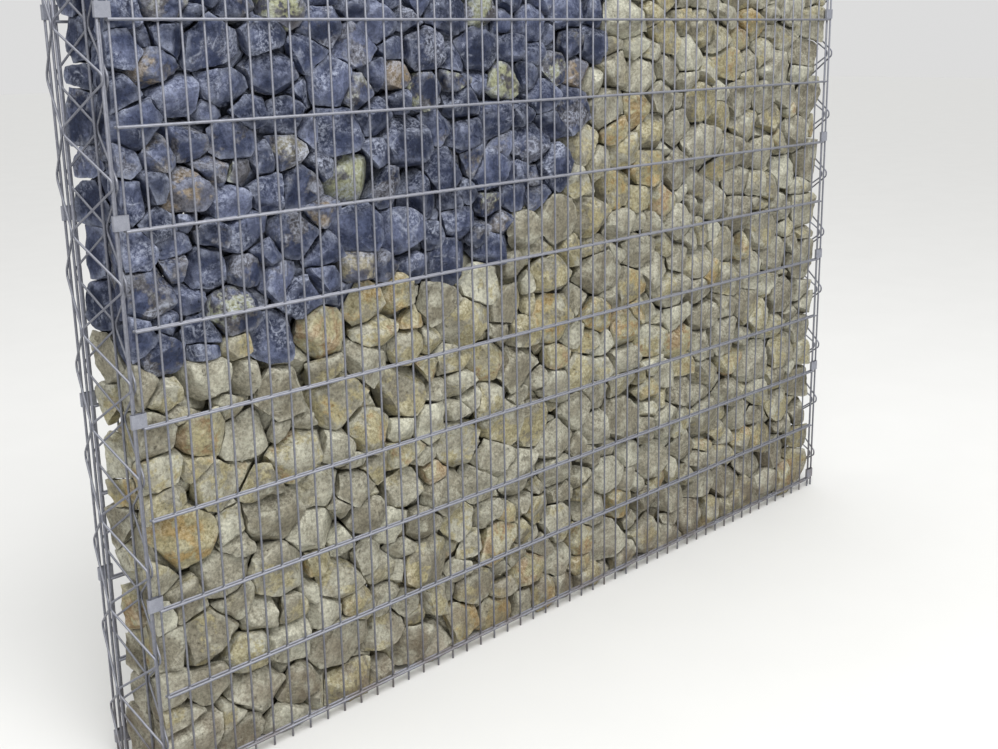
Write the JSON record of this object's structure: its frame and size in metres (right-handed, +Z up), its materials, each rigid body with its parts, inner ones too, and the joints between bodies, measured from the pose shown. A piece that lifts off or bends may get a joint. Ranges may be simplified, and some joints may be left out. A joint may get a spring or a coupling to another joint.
{
  "type": "gabion wall",
  "caption": "Narrow free-standing gabion wall, one bay long: pale and dark quarry stone held between two zinc-coated wire mats, with laced wire posts at both ends.",
  "frame": {"origin": "middle of the wall's base, on the ground it stands on", "axes": "+X along the wall towards the end filled with pale stone to its full height, +Y from the front mat to the back mat, +Z up"},
  "size_m": [2.6234, 0.2476, 1.833],
  "materials": {
    "zinc_wire": "hot-dip zinc coat on drawn wire, dull grey with a lavender cast, brighter on top edges",
    "zinc_clip": "zinc-plated bent sheet, dull grey with bright edges",
    "pale_stone": "broken limestone, beige to yellow-grey, with ochre stains and dark pits",
    "dark_stone": "broken blue-black stone with pale veins and patches"
  },
  "bodies": {
    "root": {"front_mat_left": "zinc_wire", "front_mat_right": "zinc_wire", "front_mat_inner_rails": "zinc_wire", "back_mat_left": "zinc_wire", "back_mat_right": "zinc_wire", "back_mat_inner_rails": "zinc_wire", "left_post_front_rods": "zinc_wire", "left_post_back_rods": "zinc_wire", "left_post_outer_middle_rod": "zinc_wire", "left_post_inner_middle_rod": "zinc_wire", "left_post_outer_front_lacing": "zinc_wire", "left_post_outer_back_lacing": "zinc_wire", "left_post_inner_front_lacing": "zinc_wire", "left_post_inner_back_lacing": "zinc_wire", "left_front_clips": "zinc_clip", "left_back_clips": "zinc_clip", "right_post_front_rods": "zinc_wire", "right_post_back_rods": "zinc_wire", "right_post_outer_middle_rod": "zinc_wire", "right_post_inner_middle_rod": "zinc_wire", "right_post_outer_front_lacing": "zinc_wire", "right_post_outer_back_lacing": "zinc_wire", "right_post_inner_front_lacing": "zinc_wire", "right_post_inner_back_lacing": "zinc_wire", "right_front_clips": "zinc_clip", "right_back_clips": "zinc_clip", "pale_stone_fill": "pale_stone", "dark_stone_fill": "dark_stone"}
  },
  "joints": []
}
